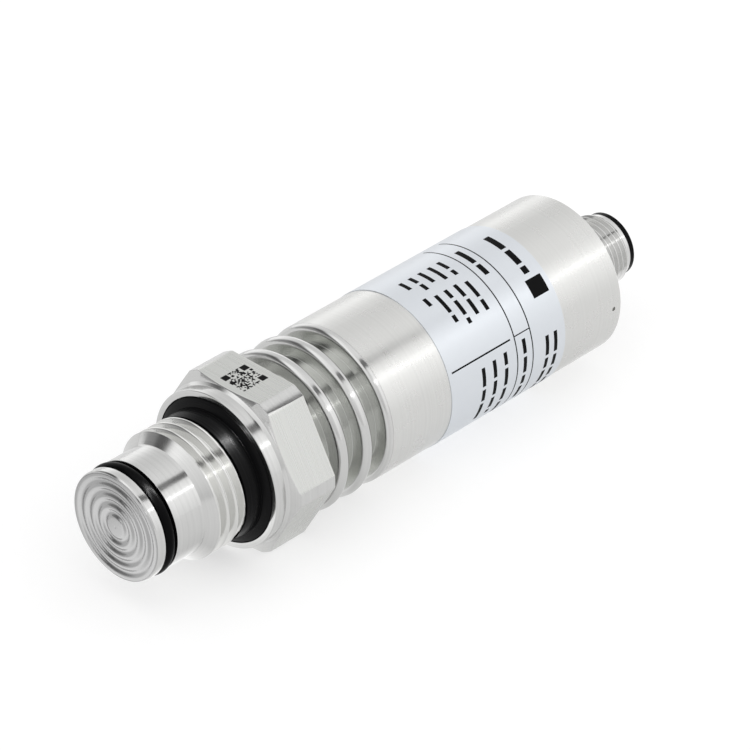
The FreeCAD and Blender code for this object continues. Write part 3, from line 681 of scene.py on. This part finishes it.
def curved_bar(work, x_from, x_to, turn_from, turn_to, reach):
    """Adds a thin bar of ink that follows the label. Places in millimetres and degrees."""
    low, high = reach - INK_SUNK, reach + INK_PROUD
    degrees_per_column = 2.5
    columns = max(1, math.ceil((turn_to - turn_from) / degrees_per_column))
    loops = []
    for column in range(columns + 1):
        turn = math.radians(turn_from + (turn_to - turn_from) * column / columns)
        loops.append([work.verts.new(spot_on(x, r, turn))
                      for x, r in ((x_from, low), (x_from, high), (x_to, high), (x_to, low))])
    for first, second in zip(loops, loops[1:]):
        for corner in range(4):
            after = (corner + 1) % 4
            work.faces.new((first[corner], first[after], second[after], second[corner]))
    work.faces.new(reversed(loops[0]))
    work.faces.new(loops[-1])


def bar_row(work, x, height, turn_from, turn_to, reach, dice):
    """Adds a row of plain bars of different lengths between two turns."""
    shortest, longest, least_rest, space = 7, 17, 6, 2.6
    turn = turn_from
    while turn < turn_to - 3:
        wide = min(dice.uniform(shortest, longest), turn_to - turn)
        if turn_to - turn - wide < least_rest:
            wide = turn_to - turn
        curved_bar(work, x - height / 2, x + height / 2, turn, turn + wide, reach)
        turn += wide + space


def label_print(work, sizes, reach):
    """Adds the rules and the rows of bars of the label."""
    dice = random.Random(7)
    rule = sizes.rule_width / MM
    line = sizes.line_width / MM
    high = sizes.bar_height / MM
    front_rule, rear_rule = 72.5, 76.0
    between = (front_rule + rear_rule) / 2
    for x in (front_rule, rear_rule):
        curved_bar(work, x - rule / 2, x + rule / 2, 60, 292, reach)
    half = math.degrees(line / 2 / reach)
    curved_bar(work, 58.6, 71.6, 158.8 - half, 158.8 + half, reach)
    curved_bar(work, front_rule, rear_rule, 158.5 - half / 1.5, 158.5 + half / 1.5, reach)
    left = 84
    # Each row of the upper block: its station, the end of its left part, and both ends of its right part
    upper = ((70.0, 102, 110, 134), (67.9, 101, 108, 133), (65.8, 98, 108, 136), (63.7, 101, 108, 131),
             (61.6, 94, 106, 113))
    for x, left_end, right_from, right_to in upper:
        bar_row(work, x, high, left, left_end, reach, dice)
        bar_row(work, x, high, right_from, right_to, reach, dice)
    bar_row(work, 80.4, high * 1.6, left + 2, 126, reach, dice)
    curved_bar(work, 79.0, 82.4, 130, 143, reach)
    bar_row(work, between, high * 1.3, left, 113, reach, dice)
    # Each row of the lower block: its station and both its ends
    lower = ((81.2, 170, 230), (79.3, 170, 222), (between, 163, 215), (70.0, 165, 220), (67.5, 166, 212),
             (65.0, 167, 212))
    for x, start, end in lower:
        bar_row(work, x, high, start, end, reach, dice)


class TRANSMITTER_OT_label(bpy.types.Operator):
    """Gives the label its film and prints its rules and bars"""

    bl_idname = "transmitter.label"
    bl_label = "Label"

    def execute(self, context):
        sizes = context.scene.transmitter_housing
        # Matt silver polyester film, printed: cool grey, with a wide soft highlight
        film = grained("silver polyester film", sizes.film, amount=0.03, size=1.5, rough=0.34, depth=0.0004,
                       metallic=0.55)
        dress(film, "rating_label")
        # Thermal transfer ink: dense black, duller than the film
        ink = grained("thermal transfer ink", sizes.ink, amount=0.15, size=0.3, rough=0.5, depth=0.0005,
                      ior=1.5, gloss=0.06)
        work = bmesh.new()
        label_print(work, sizes, half_height("rating_label"))
        finish_piece("label_print", work, [ink])
        return {"FINISHED"}


def square_cells(count, dice):
    """Cells of a plain random pattern with a solid square in three corners."""
    block = 5
    filled = 0.48
    cells = set()
    for column in range(count):
        for row in range(count):
            near = column < block + 1, row < block + 1
            far = column >= count - block - 1, row >= count - block - 1
            if (near[0] and far[1]) or (far[0] and far[1]) or (far[0] and near[1]):
                continue
            if dice.random() < filled:
                cells.add((column, row))
    for left, low in ((0, count - block), (count - block, count - block), (count - block, 0)):
        cells |= {(left + column, low + row) for column in range(block) for row in range(block)}
    return cells


class TRANSMITTER_OT_mark(bpy.types.Operator):
    """Marks the upper flat of the hexagon with a plain pattern of squares"""

    bl_idname = "transmitter.mark"
    bl_label = "Square mark"

    def execute(self, context):
        # Laser anneal mark on steel: a dark matt oxide skin without depth
        oxide = grained("laser annealed oxide", linear("#0D0D0E"), amount=0.3, size=0.2, rough=0.55,
                        depth=0.0004, gloss=0.06)
        count = 21
        side = 5.1
        middle = 26.86
        cell = side / count
        work = bmesh.new()
        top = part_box("process_fitting")[1].z
        proud = 0.005
        for column, row in sorted(square_cells(count, random.Random(11))):
            x = NOSE_X + (middle - side / 2 + column * cell) * MM
            y = (row * cell - side / 2) * MM
            span = cell * MM
            lower = [(x, y), (x + span, y), (x + span, y + span), (x, y + span)]
            base = [work.verts.new((*spot, top - INK_SUNK * MM)) for spot in lower]
            cover = [work.verts.new((*spot, top + proud * MM)) for spot in lower]
            work.faces.new(cover)
            for corner in range(4):
                after = (corner + 1) % 4
                work.faces.new((base[corner], base[after], cover[after], cover[corner]))
        finish_piece("square_mark", work, [oxide])
        return {"FINISHED"}


class TRANSMITTER_OT_plug(bpy.types.Operator):
    """Makes the plug's threaded shell and gives the insert and the pins their finishes"""

    bl_idname = "transmitter.plug"
    bl_label = "Plug"

    def execute(self, context):
        sizes = context.scene.transmitter_plug
        # Turned shell with a bright finish: sharper bands of light than on the housing
        shell = turned_stainless("bright turned steel shell", sizes.shell, smooth=0.1, rough=0.15,
                                 depth=0.0002, spacing=0.4)
        thread_r = 6.0
        pitch = sizes.thread_pitch / MM
        deep = pitch / 2 / math.tan(math.radians(30))
        crest_half, crest_round, root_round = pitch / 16, 0.02, 0.144
        corners = [(-crest_half, thread_r, crest_round), (crest_half, thread_r, crest_round),
                   (pitch / 2, thread_r + deep / 8 - deep, root_round)]
        tail, tail_r = along("connector_shell", 0), 5.5
        bore_r = 4.85
        rear = along("housing", 1)
        seal_x, seal_in, seal_out = rear + 0.85, 6.3, 7.4
        neck, flange_r, neck_r = rear + 1.6, 7.5, 5.3
        start = neck + 1.5
        run_in = start + 0.35
        end, end_r = start + 7.15, 5.45
        rim = along("connector_shell", 1)
        line = soften([
            (tail, bore_r), (tail, tail_r, 0.2), (rear, tail_r), (rear, seal_in), (seal_x, seal_in),
            (seal_x, seal_out), (rear, seal_out), (rear, flange_r, 0.05), (neck, flange_r, 0.25),
            (neck, neck_r, 0.2), (start, neck_r, 0.1), (run_in, thread_r),
        ])
        thread = thread_rings(corners, pitch, sizes.thread_crest / MM, thread_r, run_in, end,
                              lambda x: end_r + (end - x))
        front = soften([(end, end_r), (rim, end_r, 0.1), (rim, bore_r)])
        piece = skin("threaded_shell", rings_of(line) + thread + rings_of(front), even_turns(168), [shell])
        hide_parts("connector_shell")
        dress(shell, "connector_shell", "connector_lock_nut")
        # Moulded glass-filled nylon: black, with a soft gloss and a fine mould grain
        dress(grained("moulded black nylon", sizes.insert, amount=0.2, size=0.2, rough=0.3, depth=0.0006,
                      ior=1.53, gloss=0.05), "connector_insert")
        # Gold plate on turned brass: warm, bright and smooth
        dress(grained("gold plated brass", linear("#E3BE6A"), amount=0.06, size=0.3, rough=0.18, depth=0.001,
                      metallic=1.0), "contact_pins")
        return {"FINISHED"}


class TRANSMITTER_OT_inside(bpy.types.Operator):
    """Gives the sensor and the electronics inside their finishes"""

    bl_idname = "transmitter.inside"
    bl_label = "Sensor and electronics"

    def execute(self, context):
        # Turned stainless steel inside: satin, with coarser rings, as nobody sees it
        steel = turned_stainless("turned sensor steel", linear("#CDCDCB"), smooth=0.2, rough=0.3,
                                 depth=0.0003)
        dress(steel, "sensor_header", "retaining_ring", "fill_ball", "fill_screw")
        # Sealing glass fused round the leads: greenish, glossy and partly clear
        dress(fused_glass("fused sealing glass"), "feedthrough_glass", "glass_pedestal")
        # Nickel iron leads with a gold flash: pale yellow metal
        dress(grained("gold flashed nickel iron", linear("#D9CB9E"), amount=0.05, size=0.2, rough=0.25,
                      depth=0.001, metallic=1.0), "feedthrough_leads")
        # Polished silicon: dark grey mirror
        dress(grained("polished silicon", linear("#6F7178"), amount=0.05, size=0.3, rough=0.12, depth=0.0,
                      metallic=1.0), "sensor_chip")
        # Ground alumina: white, dull, with a fine grain
        dress(grained("ground alumina", linear("#EFECE4"), amount=0.05, size=0.1, rough=0.6, depth=0.004,
                      ior=1.76), "displacement_ring")
        # Fired capacitor ceramic: tan and dull
        dress(grained("fired capacitor ceramic", linear("#B4895C"), amount=0.12, size=0.2, rough=0.5,
                      depth=0.003, ior=1.6), "board_capacitors")
        # Glass epoxy board under solder mask: green, with straight paler tracks
        dress(solder_mask_board("green solder mask board"), "compensation_board", "main_board")
        # Moulded epoxy of the chips: black and matt with a fine mould grain
        dress(grained("moulded epoxy", linear("#1A1A1B"), amount=0.2, size=0.08, rough=0.6, depth=0.006,
                      ior=1.55), "signal_chip", "surge_suppressors")
        # Moulded PBT carrier: off-white with a soft gloss
        dress(grained("moulded PBT", linear("#E9E6DC"), amount=0.04, size=0.3, rough=0.45, depth=0.003,
                      ior=1.55), "board_carrier")
        # Polyester insulating film: pale amber and glossy
        dress(grained("polyester insulating film", linear("#D9CFA8"), amount=0.05, size=2.0, rough=0.2,
                      depth=0.001, ior=1.6, coat=0.3), "insulating_sleeve")
        # Extruded PVC insulation: grey with a faint lengthwise flow
        dress(grained("extruded PVC insulation", linear("#B9B8B2"), amount=0.1, size=0.3, rough=0.4,
                      depth=0.003, ior=1.53, stretch=(8.0, 1.0, 1.0)), "lead_wires")
        return {"FINISHED"}


def softbox_world(backdrop):
    """White tent with a dark gap for what faces -X, and a white backdrop that only the camera sees."""
    world = bpy.data.worlds.new("soft studio light")
    bpy.context.scene.world = world
    world.use_nodes = True
    tree = world.node_tree
    tree.nodes.clear()
    way = node(tree, "ShaderNodeSeparateXYZ", {0: node(tree, "ShaderNodeTexCoord").outputs["Generated"]})
    left = node(tree, "ShaderNodeMath", {0: way.outputs["Y"], 1: -1.0}, operation="MULTIPLY")
    rise = node(tree, "ShaderNodeMath", {0: way.outputs["Z"], 1: left.outputs[0]}, operation="ARCTAN2")
    share = node(tree, "ShaderNodeMath", {0: rise.outputs[0], 1: math.pi}, operation="DIVIDE")
    body = tent_ramp(tree, share.outputs[0], BODY_TENT)
    face = tent_ramp(tree, share.outputs[0], FACE_TENT)
    ahead = node(tree, "ShaderNodeMapRange", {"Value": way.outputs["X"], "From Min": -0.35, "From Max": 0.05},
                 interpolation_type="SMOOTHSTEP")
    mix = node(tree, "ShaderNodeMix", {0: ahead.outputs[0], 2: face, 3: body}, data_type="FLOAT")
    light = node(tree, "ShaderNodeBackground", {"Strength": mix.outputs[0], "Color": linear("#FFFFFF")})
    plain = node(tree, "ShaderNodeBackground", {"Strength": backdrop, "Color": linear("#FBFBFB")})
    seen = node(tree, "ShaderNodeLightPath").outputs["Is Camera Ray"]
    both = node(tree, "ShaderNodeMixShader", {0: seen, 1: light.outputs[0], 2: plain.outputs[0]})
    node(tree, "ShaderNodeOutputWorld", {"Surface": both.outputs[0]})


def tent_ramp(tree, share, steps):
    """Brightness by the share of the half turn over the floor, from steps of angle and brightness."""
    curve = node(tree, "ShaderNodeFloatCurve", {"Value": share})
    points = curve.mapping.curves[0].points
    places = [(angle / 180, value / TENT_TOP) for angle, value in steps]
    points[0].location = places[0]
    points[1].location = places[-1]
    for place in places[1:-1]:
        points.new(*place)
    for point in points:
        point.handle_type = "AUTO_CLAMPED"
    curve.mapping.update()
    return node(tree, "ShaderNodeMath", {0: curve.outputs[0], 1: TENT_TOP}, operation="MULTIPLY").outputs[0]


def strip_light(name, rise, middle, length, width, radiance, receivers=()):
    """Long narrow softbox along the body, at an angle over the floor, for all pieces or for the receivers."""
    lamp = bpy.data.lights.new(name, "AREA")
    lamp.shape = "RECTANGLE"
    lamp.size = length
    lamp.size_y = width
    lamp.energy = radiance * math.pi * lamp.size * lamp.size_y
    strip = bpy.data.objects.new(name, lamp)
    away = Vector((0.0, -math.cos(rise), math.sin(rise)))
    strip.location = Vector((middle, 0.0, AXIS_Z)) + STRIP_AWAY * away
    strip.rotation_euler = (-away).to_track_quat("-Z", "Y").to_euler()
    bpy.context.scene.collection.objects.link(strip)
    if receivers:
        strip.visible_diffuse = False
        lit = bpy.data.collections.new(name)
        for piece in receivers:
            lit.objects.link(piece)
        strip.light_linking.receiver_collection = lit


def grey_flag():
    """Narrow grey card over the nose, seen by reflections only: the dark line along the front half."""
    mesh = bpy.data.meshes.new("grey_flag")
    front, rear, tip = -0.1, 0.052, 0.112
    middle, half_width = -0.052, 0.012
    height, half_rise = AXIS_Z + 0.113, 0.005
    inner = (middle + half_width, height + half_rise)
    outer = (middle - half_width, height - half_rise)
    corners = [(front, *inner), (rear, *inner), (tip, middle, height), (rear, *outer), (front, *outer)]
    mesh.from_pydata(corners, [], [(0, 1, 2, 3, 4)])
    # Grey flocked card: dark and dull
    mesh.materials.append(grained("grey flocked card", linear("#7A7A7A"), amount=0.1, size=0.5, rough=0.9,
                                  depth=0.0, gloss=0.1))
    card = bpy.data.objects.new("grey_flag", mesh)
    bpy.context.scene.collection.objects.link(card)
    card.visible_camera = False
    card.visible_diffuse = False
    card.visible_shadow = False
    card.visible_transmission = False


class TRANSMITTER_OT_stage(bpy.types.Operator):
    """Sets the floor, the soft light and the camera"""

    bl_idname = "transmitter.stage"
    bl_label = "Stage"

    def execute(self, context):
        sizes = context.scene.transmitter_stage
        half, level = 4.0, -0.05 * MM
        mesh = bpy.data.meshes.new("floor")
        corners = [(-half, -half, level), (half, -half, level), (half, half, level), (-half, half, level)]
        mesh.from_pydata(corners, [], [(0, 1, 2, 3)])
        # Opal acrylic sheet lit from below: plain and pale, with a faint shadow. Its glow under the part is
        # painted light, a pool of light that only reflections see, while the camera sees an even glow all
        # over
        opal = grained("backlit opal floor with painted light pool", sizes.floor, amount=0.01, size=30.0, rough=0.8, depth=0.0,
                       gloss=0.05)
        tree = opal.node_tree
        shader = tree.nodes["Principled BSDF"]
        place = node(tree, "ShaderNodeSeparateXYZ", {0: node(tree, "ShaderNodeTexCoord").outputs["Object"]})
        # Painted pool of light: the floor glows brighter under the part, for reflections only
        front = node(tree, "ShaderNodeMapRange", {"Value": place.outputs["Y"], "From Min": -0.010,
                                                  "From Max": -0.001, "To Min": sizes.glow,
                                                  "To Max": sizes.glow_under})
        rear = node(tree, "ShaderNodeMapRange", {"Value": place.outputs["Y"], "From Min": 0.006,
                                                 "From Max": 0.025, "To Min": sizes.glow_under,
                                                 "To Max": sizes.glow})
        under = node(tree, "ShaderNodeMath", {0: front.outputs[0], 1: rear.outputs[0]}, operation="MINIMUM")
        seen = node(tree, "ShaderNodeLightPath").outputs["Is Camera Ray"]
        glow = node(tree, "ShaderNodeMix", {0: seen, 2: under.outputs[0], 3: sizes.glow_seen},
                    data_type="FLOAT")
        shader.inputs["Emission Color"].default_value = linear("#FFFFFF")
        tree.links.new(glow.outputs[0], shader.inputs["Emission Strength"])
        mesh.materials.append(opal)
        floor = bpy.data.objects.new("floor", mesh)
        context.scene.collection.objects.link(floor)
        softbox_world(sizes.backdrop)
        strip_light("strip softbox", math.radians(40), 0.35, 1.6, 0.025, sizes.strip)
        strip_light("rubber softbox", math.radians(72), 0.0, 2.4, 0.07, sizes.rubber_strip,
                    [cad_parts["nose_o_ring"], bpy.data.objects["profile_seal"]])
        grey_flag()
        lens = bpy.data.cameras.new("photo camera")
        lens.lens = sizes.lens
        lens.sensor_width = 36.0
        lens.clip_start = 0.01
        lens.clip_end = 20.0
        camera = bpy.data.objects.new("photo camera", lens)
        camera.location = sizes.place
        camera.rotation_euler = Vector(sizes.view).to_track_quat("-Z", "Y").to_euler()
        context.scene.collection.objects.link(camera)
        context.scene.camera = camera
        context.scene.view_settings.view_transform = "Standard"
        return {"FINISHED"}


STEPS = ("fitting", "diaphragm", "seals", "housing", "label", "mark", "plug", "inside", "stage")


class TRANSMITTER_PT_panel(bpy.types.Panel):
    """Lists the steps and the sizes of the transmitter"""

    bl_idname = "TRANSMITTER_PT_panel"
    bl_label = "Pressure transmitter"
    bl_space_type = "VIEW_3D"
    bl_region_type = "UI"
    bl_category = "Transmitter"

    def draw(self, context):
        for step in STEPS:
            self.layout.operator("transmitter." + step)
        for name in GROUPS:
            group = getattr(context.scene, name)
            box = self.layout.box()
            for key in group.__annotations__:
                box.prop(group, key)


GROUPS = {
    "transmitter_process": TransmitterProcessEnd,
    "transmitter_housing": TransmitterHousing,
    "transmitter_plug": TransmitterPlug,
    "transmitter_stage": TransmitterStage,
}

CLASSES = (
    TransmitterProcessEnd, TransmitterHousing, TransmitterPlug, TransmitterStage, TRANSMITTER_OT_fitting,
    TRANSMITTER_OT_diaphragm, TRANSMITTER_OT_seals, TRANSMITTER_OT_housing, TRANSMITTER_OT_label,
    TRANSMITTER_OT_mark, TRANSMITTER_OT_plug, TRANSMITTER_OT_inside, TRANSMITTER_OT_stage,
    TRANSMITTER_PT_panel,
)


def register():
    for item in CLASSES:
        bpy.utils.register_class(item)
    for name, group in GROUPS.items():
        setattr(bpy.types.Scene, name, bpy.props.PointerProperty(type=group))


def unregister():
    for name in GROUPS:
        delattr(bpy.types.Scene, name)
    for item in reversed(CLASSES):
        bpy.utils.unregister_class(item)


def main():
    register()
    for step in STEPS:
        getattr(bpy.ops.transmitter, step)()


if __name__ == "__main__":
    main()
